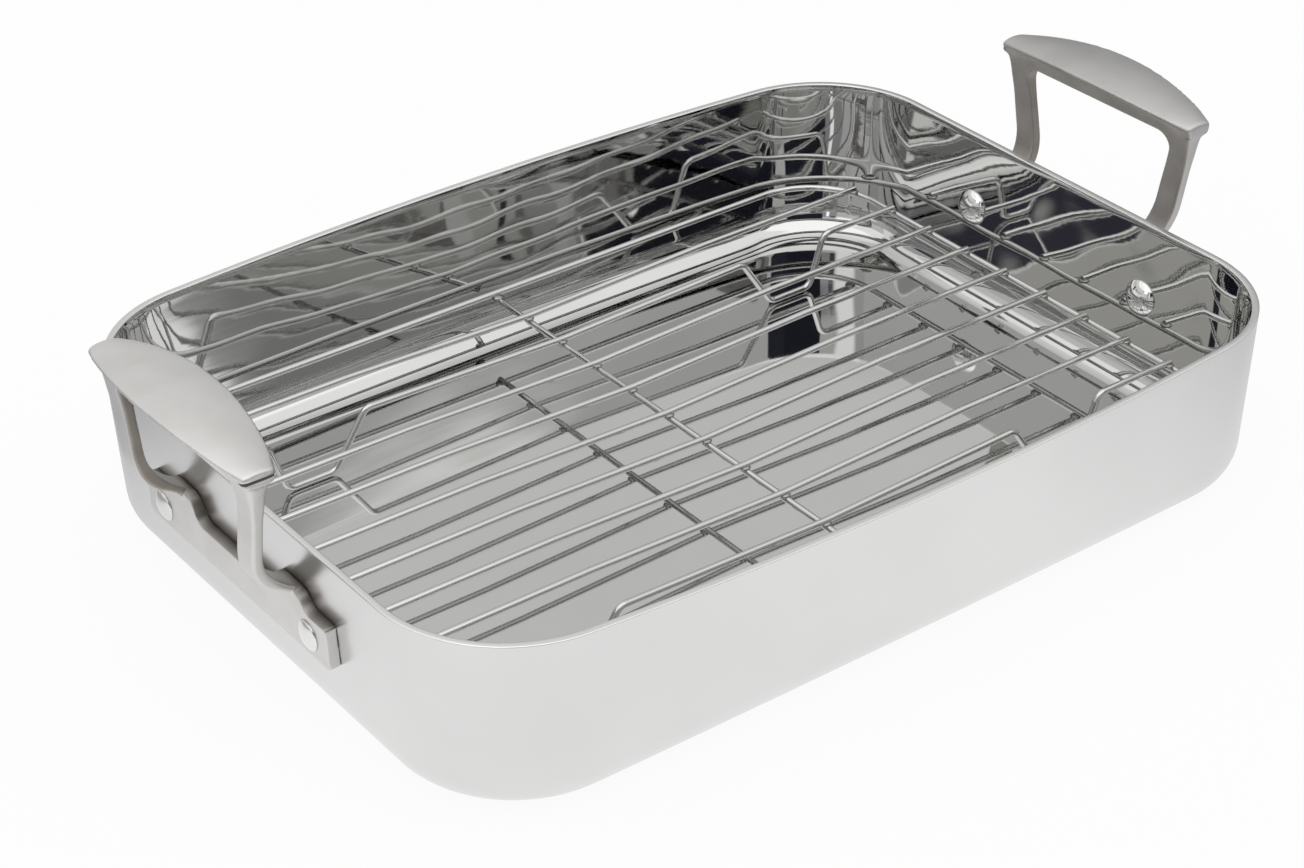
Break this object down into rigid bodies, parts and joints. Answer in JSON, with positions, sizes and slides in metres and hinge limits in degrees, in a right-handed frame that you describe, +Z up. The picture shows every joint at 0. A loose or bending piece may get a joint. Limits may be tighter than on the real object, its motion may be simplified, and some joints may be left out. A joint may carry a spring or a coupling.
{
  "type": "roasting pan with rack",
  "caption": "Rectangular steel roasting pan with rounded corners, cast loop handles riveted to its ends, and a welded wire rack that lifts out.",
  "frame": {"origin": "centre of the pan's underside, the flat face that it rests on", "axes": "+X along the pan's length towards the right-hand handle, +Y towards the back, +Z up out of the pan"},
  "size_m": [0.4662, 0.3046, 0.1227],
  "materials": {
    "pan_steel": "satin brushed outside, mirror polished inside",
    "handle_steel": "fine matt cast steel",
    "rivet_steel": "polished",
    "rack_steel": "bright drawn wire"
  },
  "bodies": {
    "pan": {"pan_body": "pan_steel", "handle_left": "handle_steel", "handle_right": "handle_steel", "rivet_left_front": "rivet_steel", "rivet_left_back": "rivet_steel", "rivet_right_front": "rivet_steel", "rivet_right_back": "rivet_steel"},
    "rack": {"rack_rim_wire": "rack_steel", "rack_cross_wire": "rack_steel", "rack_foot_wire_back": "rack_steel", "rack_foot_wire_front": "rack_steel", "rack_long_wire_1": "rack_steel", "rack_long_wire_2": "rack_steel", "rack_long_wire_3": "rack_steel", "rack_long_wire_4": "rack_steel", "rack_long_wire_5": "rack_steel", "rack_long_wire_6": "rack_steel", "rack_long_wire_7": "rack_steel", "rack_long_wire_8": "rack_steel"}
  },
  "joints": [
    {"name": "rack_lift", "type": "slide", "parent": "pan", "child": "rack", "axis": [0, 0, 1], "range_m": [0, 0.11]}
  ]
}
